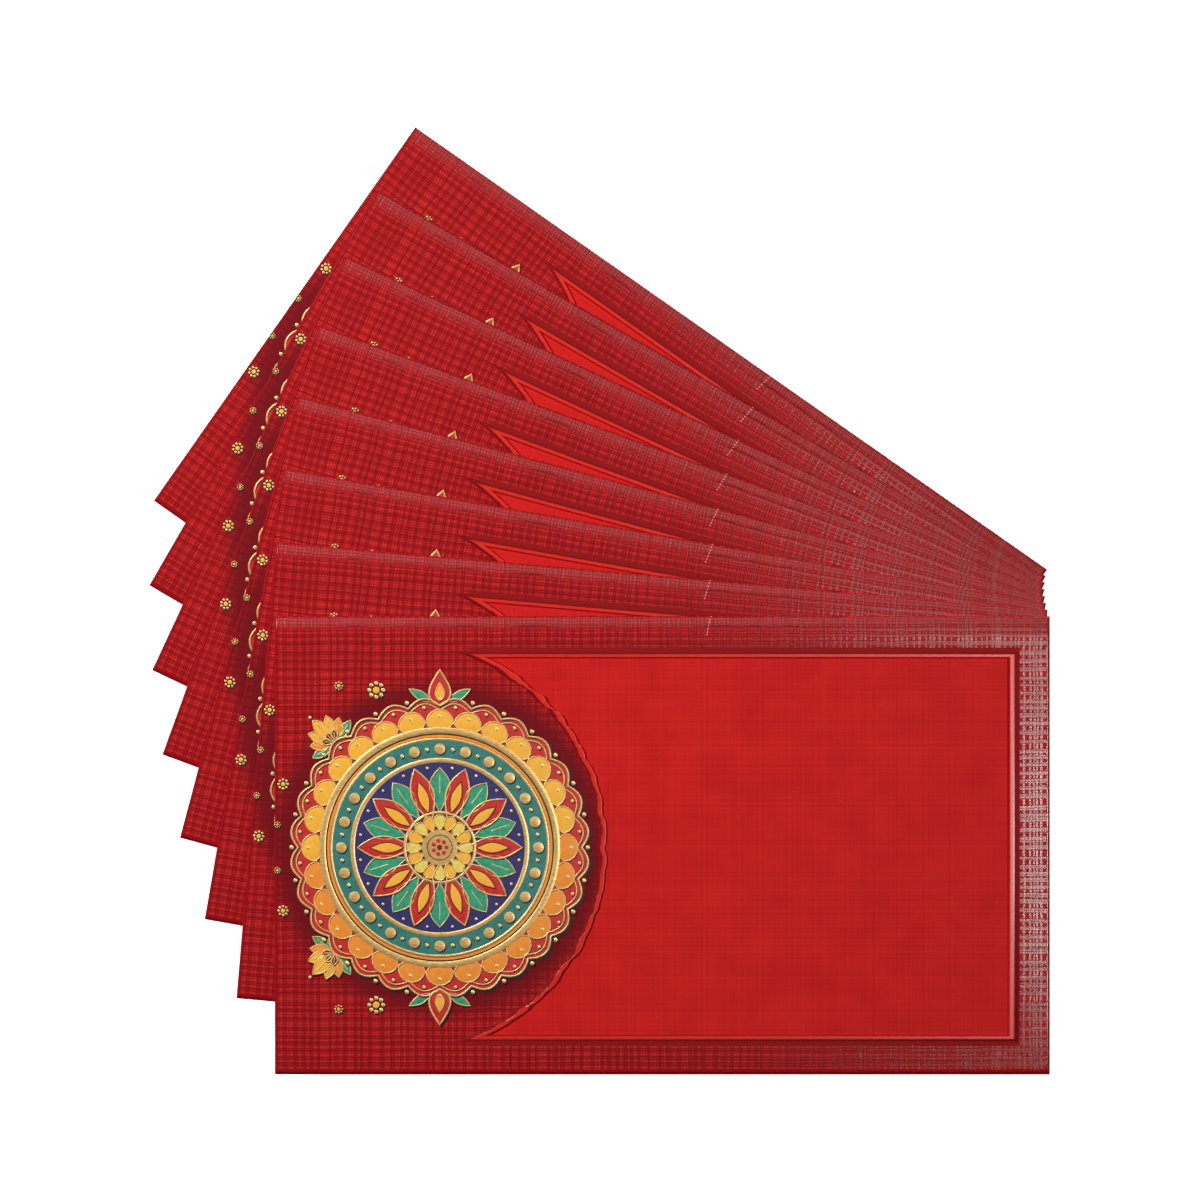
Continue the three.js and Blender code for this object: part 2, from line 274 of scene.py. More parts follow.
def allHold(add, tests):  # 1 where every comparison holds
    product = 1.0
    for value, operation, limit in tests:
        test = add("Math", {0: value, 1: limit}, operation=operation)
        product = add("Math", {0: product, 1: test}, operation="MULTIPLY")
    return product


def weaveAcross(add, coordinate, pitch, wider):
    # threads in one direction, laid over the borders between cells, with a dark outline of painted shade on
    # each side
    borders = []
    for cell in (pitch, linen["hairPitch"]):
        cells = add("TexVoronoi", {
            "W": coordinate, "Scale": 1 / cell, "Randomness": 1.0,
        }, voronoi_dimensions="1D", feature="DISTANCE_TO_EDGE")
        borders.append(add("Math", {0: cells, 1: cell}, operation="MULTIPLY"))
    fromThread, fromHair = borders
    patch = add("TexNoise", {
        "W": coordinate, "Scale": 1 / linen["patchPitch"], "Detail": 2.0,
    }, noise_dimensions="1D")
    patched = add("Math", {
        0: patch, 1: linen["threadPatch"], 2: linen["threadHalf"] - linen["threadPatch"] / 2,
    }, operation="MULTIPLY_ADD")
    half = add("Math", {0: patched, 1: wider}, operation="ADD")
    past = add("Math", {0: half, 1: fromThread}, operation="SUBTRACT")
    beside = add("Math", {0: past}, operation="ABSOLUTE")
    thread = add("MapRange", {
        "Value": past, "From Min": -linen["threadEdge"], "From Max": linen["threadEdge"],
    })
    outline = add("MapRange", {
        "Value": beside, "From Min": linen["outlineReach"], "From Max": linen["lineCore"],
        "To Max": linen["outline"],
    })
    hair = add("MapRange", {
        "Value": fromHair, "From Min": linen["hairReach"], "From Max": linen["lineCore"],
        "To Max": linen["hair"],
    })
    return thread, outline, hair


def smoothBand(add, point):
    # 1 within bandWidth of the bead on the panel's straight sides, outside the arc's circle
    reach = linen["bandWidth"] + bead["width"]
    raw = add("SeparateXYZ", {"Vector": point})
    fromMiddle = add("Math", {0: raw.outputs["Y"], 1: panelMiddle}, operation="SUBTRACT")
    away = add("Math", {0: fromMiddle}, operation="ABSOLUTE")
    fromArc = add("VectorMath", {0: point, 1: (arcX, panelMiddle, 0)}, operation="DISTANCE")
    return allHold(add, [
        (away, "LESS_THAN", panelHalf + reach),
        (raw.outputs["X"], "LESS_THAN", panelRight + linen["bandRight"] + bead["width"]),
        (raw.outputs["X"], "GREATER_THAN", arcX),
        (fromArc, "GREATER_THAN", arcRadius),
    ])


def paintedGlintRow(add, x, y):  # 1 in the painted glints of the slanting row
    below = add("Math", {0: halfHeight, 1: y}, operation="SUBTRACT")
    aside = add("Math", {0: x, 1: linen["glintX"]}, operation="SUBTRACT")
    slant = add("Math", {0: below, 1: linen["glintLean"], 2: aside}, operation="MULTIPLY_ADD")
    off = add("Math", {0: slant}, operation="ABSOLUTE")
    wave = add("Math", {0: y, 1: 2 * math.pi / linen["glintPitch"]}, operation="MULTIPLY")
    beat = add("Math", {0: wave}, operation="SINE")
    return allHold(add, [
        (off, "LESS_THAN", linen["glintWidth"] / 2),
        (y, "GREATER_THAN", halfHeight - linen["glintLength"]),
        (beat, "GREATER_THAN", linen["glintGap"]),
    ])


def makeLinen():
    # Raised UV varnish in a woven pattern over matt ink: threads mirror the lamps, windows stay matt
    material, add, shader = newMaterial("linenSpotVarnish", {
        "Roughness": 0.6, "Specular IOR Level": 0.02, "Coat Roughness": 0.16, "Coat IOR": 1.5,
    })
    point = sheetPoint(add)
    raw = add("SeparateXYZ", {"Vector": point})
    x = raw.outputs["X"]
    y = raw.outputs["Y"]
    wander = add("TexNoise", {
        "Vector": point, "Scale": 1 / linen["wobblePitch"], "Detail": 2.0,
    }, noise_dimensions="2D")
    shift = add("VectorMath", {0: wander.outputs["Color"], "Scale": linen["wobble"]}, operation="SCALE")
    moved = add("VectorMath", {0: point, 1: shift}, operation="ADD")
    wavy = add("SeparateXYZ", {"Vector": moved}).outputs

    # upright threads lie closer towards the right end, and all threads get wider
    beyond = add("Math", {0: wavy["X"], 1: linen["closeFrom"]}, operation="SUBTRACT")
    onward = add("Math", {0: beyond, 1: 0.0}, operation="MAXIMUM")
    squared = add("Math", {0: onward, 1: onward}, operation="MULTIPLY")
    pressed = add("Math", {0: squared, 1: linen["closer"]}, operation="MULTIPLY")
    columns = add("Math", {0: wavy["X"], 1: pressed}, operation="ADD")
    wider = add("MapRange", {
        "Value": wavy["X"], "From Min": linen["widerFrom"], "From Max": halfWidth, "To Max": linen["wider"],
    })

    # sideways threads close up at the crease, darker there: partly the linen's pattern, partly painted
    # shade
    closing = add("MapRange", {
        "Value": y, "From Min": halfHeight - linen["creaseReach"], "From Max": halfHeight,
        "To Max": linen["rowPitch"],
    })
    opening = add("MapRange", {
        "Value": x, "From Min": linen["creaseEnd"] / 2, "From Max": linen["creaseEnd"],
        "To Min": 1.0, "To Max": linen["creaseKeep"],
    })
    closed = add("Math", {0: closing, 1: opening}, operation="MULTIPLY")
    rowWider = add("Math", {0: wider, 1: closed}, operation="ADD")

    threadX, outlineX, hairX = weaveAcross(add, columns, linen["columnPitch"], wider)
    threadY, outlineY, hairY = weaveAcross(add, wavy["Y"], linen["rowPitch"], rowWider)
    cover = add("Math", {0: threadX, 1: threadY}, operation="MAXIMUM")
    twice = add("Math", {0: threadX, 1: threadY}, operation="MULTIPLY")
    lines = outlineX
    for other in (outlineY, hairX, hairY):
        lines = add("Math", {0: lines, 1: other}, operation="MAXIMUM")

    # varnish lies on the threads between their lines, and neither on the band nor on the edge
    darkReflectionBand = smoothBand(add, point)
    fromCentre = add("Math", {0: x}, operation="ABSOLUTE")
    side = add("Math", {0: fromCentre, 1: halfWidth - linen["edgeSide"]}, operation="GREATER_THAN")
    foot = add("Math", {0: y, 1: linen["edgeBottom"] - halfHeight}, operation="LESS_THAN")
    edge = add("Math", {0: side, 1: foot}, operation="MAXIMUM")
    bare = add("Math", {0: darkReflectionBand, 1: edge}, operation="MAXIMUM")
    coated = add("Math", {0: 1.0, 1: bare}, operation="SUBTRACT")
    thinner = add("Math", {0: threadY, 1: linen["rowGloss"]}, operation="MULTIPLY")
    varnish = add("Math", {0: threadX, 1: thinner}, operation="MAXIMUM")
    unlined = add("Math", {0: 1.0, 1: lines}, operation="SUBTRACT")
    thick = add("Math", {0: varnish, 1: unlined}, operation="MULTIPLY")
    gloss = add("Math", {0: thick, 1: coated}, operation="MULTIPLY")

    # inks over one another, the last on top; the outlines and the edge are painted shade, the band a
    # painted dark reflection, the glint row a painted highlight
    tone = add("TexNoise", {
        "Vector": point, "Scale": 1 / linen["patchPitch"], "Detail": 3.0,
    }, noise_dimensions="2D")
    fromMedal = add("VectorMath", {0: point, 1: (medalX, medalY, 0)}, operation="DISTANCE")
    glow = add("MapRange", {
        "Value": fromMedal, "From Min": medalRadius + linen["glowReach"],
        "From Max": medalRadius + linen["glowFull"], "To Max": linen["glowMost"],
    }, interpolation_type="SMOOTHSTEP")
    inksOver = [
        (tone, "groundDeep"), (cover, "thread"), (twice, "crossing"), (lines, "grooveShade"), (darkReflectionBand, "darkReflectionBand"),
        (edge, "edge"), (glow, "glow"), (paintedGlintRow(add, x, y), "paintedGlint"),
    ]
    colour = linear(linen["ground"])
    for share, ink in inksOver:
        colour = add("Mix", {"Factor": share, 6: colour, 7: linear(linen[ink])}, data_type="RGBA")

    # height in units of the relief: threads stand up, lines are grooves, the top rounds over
    above = add("Math", {0: y, 1: halfHeight - linen["roundOver"]}, operation="SUBTRACT")
    into = add("Math", {0: above, 1: 0.0}, operation="MAXIMUM")
    bend = add("Math", {0: into, 1: into}, operation="MULTIPLY")
    fall = linen["roundSlope"] / (2 * linen["roundOver"]) * mm / linen["relief"]
    drop = add("Math", {0: bend, 1: fall}, operation="MULTIPLY")
    rounded = add("Math", {0: thick, 1: drop}, operation="SUBTRACT")
    bump = add("Bump", {"Height": rounded, "Strength": 1.0, "Distance": linen["relief"]})
    feed(shader, {"Base Color": colour, "Coat Weight": gloss, "Normal": bump, "Coat Normal": bump})
    return material


def makeClouded(name, light, dark, noise, values):  # two close shades of ink in soft clouds
    material, add, shader = newMaterial(name, values)
    cloud = add("TexNoise", {"Vector": sheetPoint(add), **noise}, noise_dimensions="2D")
    colour = add("Mix", {"Factor": cloud, 6: linear(light), 7: linear(dark)}, data_type="RGBA")
    feed(shader, {"Base Color": colour})
    return material


card = {
    "fibrePitch": 1400.0,  # across a metre
    "cloudPitch": 90.0,
    "lightUpTo": 0.12,  # fibre times cloud where the light shade ends
    "darkFrom": 0.4,
    "relief": 0.00003,  # m
    "reliefShows": 0.4,
}


def makeCard(name, light, dark):
    # Uncoated side of the card: soft fibre mottle, matt
    material, add, shader = newMaterial(name, {"Roughness": 0.8, "Specular IOR Level": 0.25})
    place = add("TexCoord", {}).outputs["Object"]
    fibre, cloud = [add("TexNoise", {
        "Vector": place, "Scale": card[pitch], "Detail": detail,
    }) for pitch, detail in (("fibrePitch", 3.0), ("cloudPitch", 2.0))]
    both = add("Math", {0: fibre, 1: cloud}, operation="MULTIPLY")
    share = add("MapRange", {"Value": both, "From Min": card["lightUpTo"], "From Max": card["darkFrom"]})
    colour = add("Mix", {"Factor": share, 6: linear(light), 7: linear(dark)}, data_type="RGBA")
    bump = add("Bump", {"Height": fibre, "Strength": card["reliefShows"], "Distance": card["relief"]})
    feed(shader, {"Base Color": colour, "Normal": bump})
    return material


panelMaterial = makePanelInk()
linenMaterial = makeLinen()
# Folds: the red runs on over them without varnish; their darker red where the sheet curls over is painted
# shade
foldMaterial = makeClouded("foldEdgePaintedShade", "#8e0c14", "#7c0a11", {"Scale": 0.9, "Detail": 4.0}, {
    "Roughness": 0.45, "Specular IOR Level": 0.02,
})
# Bead: a thick line of clear UV varnish over bright red ink, cured glossy, that catches the softboxes
beadMaterial = makeClouded("raisedBeadVarnish", "#da2b1b", "#c81d14", {"Scale": 0.5, "Detail": 3.0}, {
    "Roughness": 0.28, "Specular IOR Level": 0.29,
})
# Its slopes: darker matt reds along both feet, painted shade that makes the ridge look deeper
innerSlopeShadeMaterial = makeClouded("innerSlopePaintedShade", "#b00810", "#a2070e", {"Scale": 0.8}, {
    "Roughness": 0.6, "Specular IOR Level": 0.02,
})
outerSlopeShadeMaterial = makeClouded("outerSlopePaintedShade", "#861014", "#7a0c10", {"Scale": 0.8}, {
    "Roughness": 0.5, "Specular IOR Level": 0.03,
})
outerCard = makeCard("redDyedCard", "#b3242a", "#9d1a20")
innerCard = makeCard("creamCardInside", "#e6d8c4", "#d6c6ae")
print("materials made")


# Laying a sheet piece on the envelopes

sharpAngle = math.radians(50)
weldDistance = 1e-4  # mm


def weld(bm):
    bmesh.ops.remove_doubles(bm, verts=bm.verts[:], dist=weldDistance)
    bmesh.ops.recalc_face_normals(bm, faces=bm.faces[:])


def finishMesh(bm, name, materials, tidy=True):
    if tidy:
        bmesh.ops.remove_doubles(bm, verts=bm.verts[:], dist=weldDistance)
    for edge in bm.edges:
        if edge.is_manifold and edge.calc_face_angle() > sharpAngle:
            edge.smooth = False
    layer = bm.loops.layers.uv.verify()
    for face in bm.faces:
        face.smooth = True
        for loop in face.loops:
            loop[layer].uv = (loop.vert.co.x / mapUnit, loop.vert.co.y / mapUnit)
    mesh = bpy.data.meshes.new(name)
    bm.to_mesh(mesh)
    bm.free()
    mesh.uv_layers[0].name = sheetMap
    for material in materials:
        mesh.materials.append(material)
    return mesh


def layOnEnvelopes(template, name, node, flap=False):
    pieces = []
    for number in numbers:
        mesh = template.copy()
        mesh.transform(envelopePlace(number))
        piece = bpy.data.objects.new(f"{name}_{number}", mesh)
        bpy.context.scene.collection.objects.link(piece)
        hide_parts(f"{node}_{number}")
        if not flap:
            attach(piece, f"envelope_{number}")
        pieces.append(piece)
    bpy.data.meshes.remove(template)
    return pieces


# Folded sheet

fold = {
    "run": 0.7,  # how far in from an edge the sheet starts to curl down
    "support": 0.08,  # flat strip beside the run, which keeps the shading of the middle level
    "steps": 6,
    "sheet": 0.25,
    "sideDepth": 0.275,
    "bottomDepth": 0.425,
    "edgeGap": 0.01,
}


def foldLines(half, startRun, endRun):  # grid lines across the sheet, close together in the folds
    shares = [1 - math.cos(math.pi / 2 * i / fold["steps"]) for i in range(fold["steps"] + 1)]
    low = [-half]
    high = [half]
    if startRun:
        low = [-half + startRun * share for share in shares] + [fold["support"] + startRun - half]
    if endRun:
        high = [half - endRun - fold["support"]] + [half - endRun * share for share in reversed(shares)]
    return low + high


def curl(distance, depth):  # drop of a quarter ellipse at a distance in from the edge
    share = max(0.0, 1 - max(0.0, distance) / fold["run"])
    return depth * (1 - math.sqrt(1 - share ** 2))


def sheetDrop(x, y):
    return max(
        curl(halfWidth - abs(x), fold["sideDepth"]),
        curl(halfHeight + y, fold["bottomDepth"]),
    )


def laidGrid(bm, xLines, yLines):  # a grid whose lines lie where the lists say
    columns = len(xLines) - 1
    rows = len(yLines) - 1
    made = bmesh.ops.create_grid(bm, x_segments=columns, y_segments=rows, size=0.5)["verts"]
    for vert in made:
        column = round((vert.co.x + 0.5) * columns)
        row = round((vert.co.y + 0.5) * rows)
        vert.co = (xLines[column], yLines[row], 0)
    return made


crossLines = foldLines(halfWidth - fold["edgeGap"], fold["run"], fold["run"])


def thicken(bm, innerSlot):  # gives the sheet its thickness, with another material on its inner side
    bm.normal_update()
    made = bmesh.ops.solidify(bm, geom=bm.faces[:], thickness=fold["sheet"])
    for element in made["geom"]:
        if isinstance(element, bmesh.types.BMFace):
            element.material_index = innerSlot


def frontSheet():
    bm = bmesh.new()
    yLines = foldLines(halfHeight - fold["edgeGap"], fold["run"], 0)
    yLines[-1] = halfHeight - fold["run"]
    for vert in laidGrid(bm, crossLines, yLines):
        vert.co.z = frontTop - sheetDrop(vert.co.x, vert.co.y)
    for face in bm.faces:
        middle = face.calc_center_median()
        # the curled folds take the darker red of the painted shade
        inFold = abs(middle.x) > halfWidth - fold["run"] or middle.y < fold["run"] - halfHeight
        face.material_index = 1 if inFold else 0
    thicken(bm, 2)
    return finishMesh(bm, "frontSheet", [panelMaterial, foldMaterial, innerCard])


layOnEnvelopes(frontSheet(), "front_sheet", "front_card")


# Closure flap with its crease, one strip from the front's top edge round to the free edge

closure = {
    "creaseSteps": 12,
    "creaseRun": 2.2,  # the strip narrows from the full width to the flap's over this length
    "sideInset": 1.5,
    "cornerRadius": 12,
    "cornerSteps": 9,
    "depth": 38,
}


def closureStrip():
    bm = bmesh.new()
    farEdge = creaseY - closure["depth"]
    foldStart = halfHeight - fold["run"]
    flatLength = foldStart - farEdge
    flatHalf = halfWidth - closure["sideInset"]
    radius = closure["cornerRadius"]
    corner = [radius * (1 - math.cos(math.pi / 2 * i / closure["cornerSteps"]))
              for i in range(closure["cornerSteps"] + 1)]
    flatRows = [0.0, closure["creaseRun"]] + [flatLength - rest for rest in reversed(corner)]
    rowCount = closure["creaseSteps"] + len(flatRows) - 1
    rows = bmesh.ops.create_grid(bm, x_segments=len(crossLines) - 1, y_segments=rowCount, size=0.5)
    full = crossLines[-1]
    for vert in rows["verts"]:
        column = round((vert.co.x + 0.5) * (len(crossLines) - 1))
        row = round((vert.co.y + 0.5) * rowCount)
        x = crossLines[column]
        if row <= closure["creaseSteps"]:
            angle = math.pi * row / closure["creaseSteps"]
            y = foldStart + fold["run"] * math.sin(angle)
            sideways = curl(halfWidth - abs(x), fold["sideDepth"]) * max(0.0, math.cos(angle))
            z = creaseZ + creaseZ * math.cos(angle) - sideways
            half = full - (closure["sideInset"] / 2) * max(0.0, -math.cos(angle))
        else:
            along = flatRows[row - closure["creaseSteps"]]
            y = foldStart - along
            z = 0
            rest = flatLength - along
            if rest < radius:
                half = flatHalf - radius + math.sqrt(radius ** 2 - (radius - rest) ** 2)
            else:
                half = flatHalf
        vert.co = (x * half / full, y, z)
    thicken(bm, 1)
    for face in bm.faces:
        if face.calc_center_median().y > foldStart and face.material_index == 0:
            face.material_index = 2
    return finishMesh(bm, "closureStrip", [outerCard, innerCard, linenMaterial])


closures = layOnEnvelopes(closureStrip(), "closure", "closure_flap", True)
for piece, number in zip(closures, numbers):
    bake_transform(piece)

for number in numbers:
    for name in ("back_card", "seam_flap_left", "seam_flap_right"):
        node = frame["nodes"][f"{name}_{number}"]
        node.data.materials.clear()
        node.data.materials.append(outerCard)
print("sheets folded")


# Bead and linen coat

def ragWave(seed):  # offsets along the arc: slow wander with fine teeth, still at both tips
    draw = random.Random(seed)
    length = 2 * arcRadius * math.asin(panelHalf / arcRadius)
    knots = [draw.uniform(-1, 1) * bead["rag"] for _ in range(round(length / bead["ragPitch"]) + 2)]
    offsets = []
    for i in range(bead["arcPoints"] + 1):
        share = i / bead["arcPoints"]
        place = share * (len(knots) - 2)
        low = int(place)
        part = place - low
        slow = knots[low] * (1 - part) + knots[low + 1] * part
        offsets.append((slow + draw.uniform(-1, 1) * bead["ragFine"]) * still[i])
    return offsets


arcShares = [i / bead["arcPoints"] for i in range(bead["arcPoints"] + 1)]
still = [min(1.0, share * bead["ragTips"], (1 - share) * bead["ragTips"]) for share in arcShares]
innerRag = ragWave(3)
outerRag = [a + b * bead["ragTie"] - bead["arcWiden"] * c for a, b, c in zip(innerRag, ragWave(8), still)]


def panelOutline(grow, rag=None):  # the writing panel's outline, moved outwards by grow
    radius = arcRadius - grow
    half = panelHalf + grow
    tip = math.asin(half / radius)
    points = [
        (panelRight + grow * bead["sideStretch"], panelMiddle - half),
        (panelRight + grow * bead["sideStretch"], panelMiddle + half),
    ]
    for i in range(bead["arcPoints"] + 1):
        angle = tip - 2 * tip * i / bead["arcPoints"]
        offset = rag[i] if rag else 0
        points.append((arcX + (radius + offset) * math.cos(angle),
                       panelMiddle + (radius + offset) * math.sin(angle)))
    return points


def addLoop(bm, points, z):
    verts = [bm.verts.new((x, y, z)) for x, y in points]
    return [bm.edges.new((verts[i - 1], verts[i])) for i in range(len(verts))]


def panelBead():  # a grid wrapped round the panel and round its own section, closed at both seams
    bm = bmesh.new()
    width = bead["width"]
    top = bead["height"]
    section = [  # distance out from the panel and height over the sheet
        (-bead["footInside"], bead["foot"], innerRag),
        (0.03 * width, 0.1 * top, innerRag),
        (0.19 * width, 0.88 * top, innerRag),
        (0.22 * width, 0.98 * top, innerRag),
        (0.27 * width, top, innerRag),
        (0.46 * width, top, outerRag),
        (0.52 * width, 0.98 * top, outerRag),
        (0.57 * width, 0.9 * top, outerRag),
        (0.96 * width, 0.12 * top, outerRag),
        (width, bead["foot"], outerRag),
    ]
    innerSlope = 2
    outerSlope = 7
    outlines = [panelOutline(grow, rag) for grow, _, rag in section]
    columns = len(outlines[0])
    rows = len(section)
    bmesh.ops.create_grid(bm, x_segments=columns, y_segments=rows, size=0.5)
    for face in bm.faces:
        row = int((face.calc_center_median().y + 0.5) * rows)
        # the slopes take the darker reds of the painted shade, the crest keeps the bead's varnish
        face.material_index = 1 if row < innerSlope else 2 if row >= outerSlope else 0
    for vert in bm.verts:
        column = round((vert.co.x + 0.5) * columns) % columns
        row = round((vert.co.y + 0.5) * rows) % rows
        x, y = outlines[row][column]
        vert.co = (x, y, frontTop + section[row][1])
    weld(bm)
    return finishMesh(bm, "panelBead", [beadMaterial, innerSlopeShadeMaterial, outerSlopeShadeMaterial])


coat = {
    "thickness": 0.1,
    "lift": 0.01,
    "sideInset": 0.12,
    "topInset": 0.65,
    "bottomInset": 0.65,
    "underBead": 0.7,  # share of the bead's width at which the coat ends
}


def linenField():
    bm = bmesh.new()
    topZ = frontTop + coat["lift"] + coat["thickness"]
    outer = halfWidth - fold["run"] - fold["support"]
    low = coat["bottomInset"] - halfHeight
    high = halfHeight - coat["topInset"]
    loop = addLoop(bm, [(-outer, low), (outer, low), (outer, high), (-outer, high)], topZ)
    hole = addLoop(bm, panelOutline(bead["width"] * coat["underBead"], outerRag), topZ)
    bmesh.ops.triangle_fill(bm, edges=loop + hole, use_beauty=True)
    lines = [x for x in crossLines if x <= -outer + 1e-6]
    lines[0] = coat["sideInset"] - halfWidth
    for side in (1, -1):
        xLines = sorted(side * x for x in lines)
        for vert in laidGrid(bm, xLines, [low, high]):
            vert.co.z = topZ - curl(halfWidth - abs(vert.co.x), fold["sideDepth"])
    weld(bm)
    if sum(face.normal.z for face in bm.faces) < 0:
        bmesh.ops.reverse_faces(bm, faces=bm.faces[:])
    bmesh.ops.solidify(bm, geom=bm.faces[:], thickness=coat["thickness"])
    return finishMesh(bm, "linenField", [linenMaterial])


layOnEnvelopes(panelBead(), "panel_bead", "linen_coat")
layOnEnvelopes(linenField(), "linen_coat_skin", "linen_coat")
print("coat and bead laid")


# Medallion: cushions, hoops, beads and wires of thick varnish over a scalloped printed plate

ornament = {
    "scallops": 28,
    "scallopDepth": 1.8,
    "petals": 10,
    "hub": 8.0,  # mm, radius at which the wide bands end, under the boss
    "plateTop": 0.16,  # mm, heights are from the medallion's underside
    "bandTop": 0.2,
    "wire": 0.5,  # mm, width of a main contour
    "fineWire": 0.32,
    "wireIn": 0.3,  # mm in from the rim, for the two wires along the scallops
    "fineWireIn": 1.5,
    "hairWire": 0.25,
    "wireRise": 0.15,
    "hoopRise": 0.12,
    "hoopBevel": 0.26,
    "hoopSteps": 120,
    "shadow": (0.2, -0.26),  # mm, how far a printed shadow is set off
    "shadowRise": 0.02,
    "edgeShadowGrow": 1.006,
    "edgeShadowFar": 1.3,
    "edgeShadowTop": 0.015,
}

inks = ["gold", "scarlet", "saffron", "orange", "teal", "navy", "maroon", "black", "cream", "green"]
shadowShift = Vector(ornament["shadow"])


def polar(radius, degrees):
    return Vector((radius * math.cos(math.radians(degrees)), radius * math.sin(math.radians(degrees))))


def around(count, radius, offset=0.0):
    return [polar(radius, (i + offset) * 360 / count) for i in range(count)]


def addShell(bm, part, ink, places=(Vector((0.0, 0.0)),)):  # joins a closed part, once for each place
    weld(part)
    for face in part.faces:
        face.material_index = inks.index(ink)
    mesh = bpy.data.meshes.new("shell")
    part.to_mesh(mesh)
    part.free()
    for place in places:
        copy = mesh.copy()
        copy.transform(Matrix.Translation((place.x, place.y, 0)))
        bm.from_mesh(copy)
        bpy.data.meshes.remove(copy)
    bpy.data.meshes.remove(mesh)


def cushion(outline, base, rim, crown, middle=None):  # walls up to the rim, then a domed top
    part = bmesh.new()
    centre = middle or sum(outline, Vector((0.0, 0.0))) / len(outline)
    verts = [part.verts.new((point.x, point.y, base)) for point in outline]
    edges = part.faces.new(verts).edges[:]
    for share, height in ((1.0, rim), (0.66, rim + (crown - rim) * 0.78), (0.0, crown)):
        made = bmesh.ops.extrude_edge_only(part, edges=edges)["geom"]
        verts = [element for element in made if isinstance(element, bmesh.types.BMVert)]
        edges = [element for element in made if isinstance(element, bmesh.types.BMEdge)
                 and element.verts[0] in verts and element.verts[1] in verts]
        for vert in verts:
            flat = centre + (vert.co.xy - centre) * share
            vert.co = (flat.x, flat.y, height)
    bmesh.ops.pointmerge(part, verts=verts, merge_co=(centre.x, centre.y, crown))
    return part


def spun(profile):  # a closed profile of radius and height, turned round the middle
    part = bmesh.new()
    verts = [part.verts.new((radius, 0, height)) for radius, height in profile]
    closing = 1 if profile[0][0] == 0 else 0
    edges = [part.edges.new((verts[i - 1], verts[i])) for i in range(closing, len(verts))]
    bmesh.ops.spin(part, geom=verts + edges, cent=(0, 0, 0), axis=(0, 0, 1), angle=2 * math.pi,
                   steps=ornament["hoopSteps"], use_merge=True)
    return part


def flatBand(bm, inner, outer, top, ink):
    addShell(bm, spun([(inner, 0), (outer, 0), (outer, top), (inner, top)]), ink)


def hoop(bm, radius, width, base, ink="gold"):  # a raised band with bevelled edges
    half = width / 2
    top = base + ornament["hoopRise"]
    bevel = min(ornament["hoopBevel"], half * 0.7)
    addShell(bm, spun([
        (radius - half, 0), (radius + half, 0), (radius + half, base + 0.02),
        (radius + half - bevel, top), (radius - half + bevel, top), (radius - half, base + 0.02),
    ]), ink)


def studs(bm, places, radius, base, rise, ink, steps=10):  # domed beads, each with its shadow
    disc = [polar(radius, i * 360 / steps) for i in range(steps)]
    shade = [point * 1.08 for point in disc]
    flat = base + ornament["shadowRise"]
    addShell(bm, cushion(shade, 0, flat, flat), "black", [place + shadowShift for place in places])
    addShell(bm, cushion(disc, 0, base + rise * 0.35, base + rise), ink, places)


def wires(bm, paths, width, base, ink="gold", closed=True, shade=True):  # raised contours along paths
    layers = [(ink, Vector((0.0, 0.0)), ornament["wireRise"] * width / ornament["wire"], width)]
    # painted shadow: a flat black copy of the wires, set off towards the lower right
    if shade:
        shift = shadowShift * width / ornament["wire"]
        layers.append(("black", shift, ornament["shadowRise"], width * 0.9))
    for layerInk, shift, rise, across in layers:
        curve = bpy.data.curves.new("wires", "CURVE")
        curve.dimensions = "3D"
        curve.bevel_depth = across / 2
        curve.bevel_resolution = 2 if layerInk == ink else 0
        curve.use_fill_caps = True
        for path in paths:
            spline = curve.splines.new("POLY")
            spline.points.add(len(path) - 1)
            for point, place in zip(spline.points, path):
                point.co = (place.x + shift.x, place.y + shift.y, 0, 1)
            spline.use_cyclic_u = closed
        holder = bpy.data.objects.new("wires", curve)
        mesh = bpy.data.meshes.new_from_object(holder)
        mesh.transform(Matrix.Translation((0, 0, base)) @ Matrix.Diagonal((1, 1, 2 * rise / across, 1)))
        part = bmesh.new()
        part.from_mesh(mesh)
        addShell(bm, part, layerInk)
        bpy.data.objects.remove(holder)
        bpy.data.curves.remove(curve)
        bpy.data.meshes.remove(mesh)


def leafPath(root, tip, halfWide, widest=0.5, count=9):  # pointed at both ends
    along = tip - root
    side = Vector((-along.y, along.x)).normalized()
    power = math.log(0.5) / math.log(widest)

    def at(share, hand):
        return root + along * share + side * halfWide * math.sin(math.pi * share ** power) * hand

    shares = [i / count for i in range(count + 1)]
    return [at(share, 1) for share in shares] + [at(share, -1) for share in reversed(shares[1:-1])]


def dropPath(root, tip, halfWide, count=8):  # pointed at the root, round at the tip
    ahead = (tip - root).normalized()
    side = Vector((-ahead.y, ahead.x))
    middle = tip - ahead * halfWide
    turns = [math.pi / 2 - math.pi * i / count for i in range(count + 1)]
    cap = [middle + side * halfWide * math.sin(turn) + ahead * halfWide * math.cos(turn) for turn in turns]
    neck = (root + middle) / 2
    return [root, neck + side * halfWide * 0.72] + cap + [neck - side * halfWide * 0.72]


def scallopPath(radius, depth, count=8):
    steps = ornament["scallops"]
    return [polar(radius - depth * (1 - math.sin(math.pi * j / count)), (i + j / count) * 360 / steps)
            for i in range(steps) for j in range(count)]


def filled(bm, outlines, base, crown, ink, wire, wireInk="gold"):  # cushions with a contour round each
    for outline in outlines:
        addShell(bm, cushion(outline, 0, base + 0.02, crown), ink)
    wires(bm, outlines, wire, base + 0.02, wireInk)


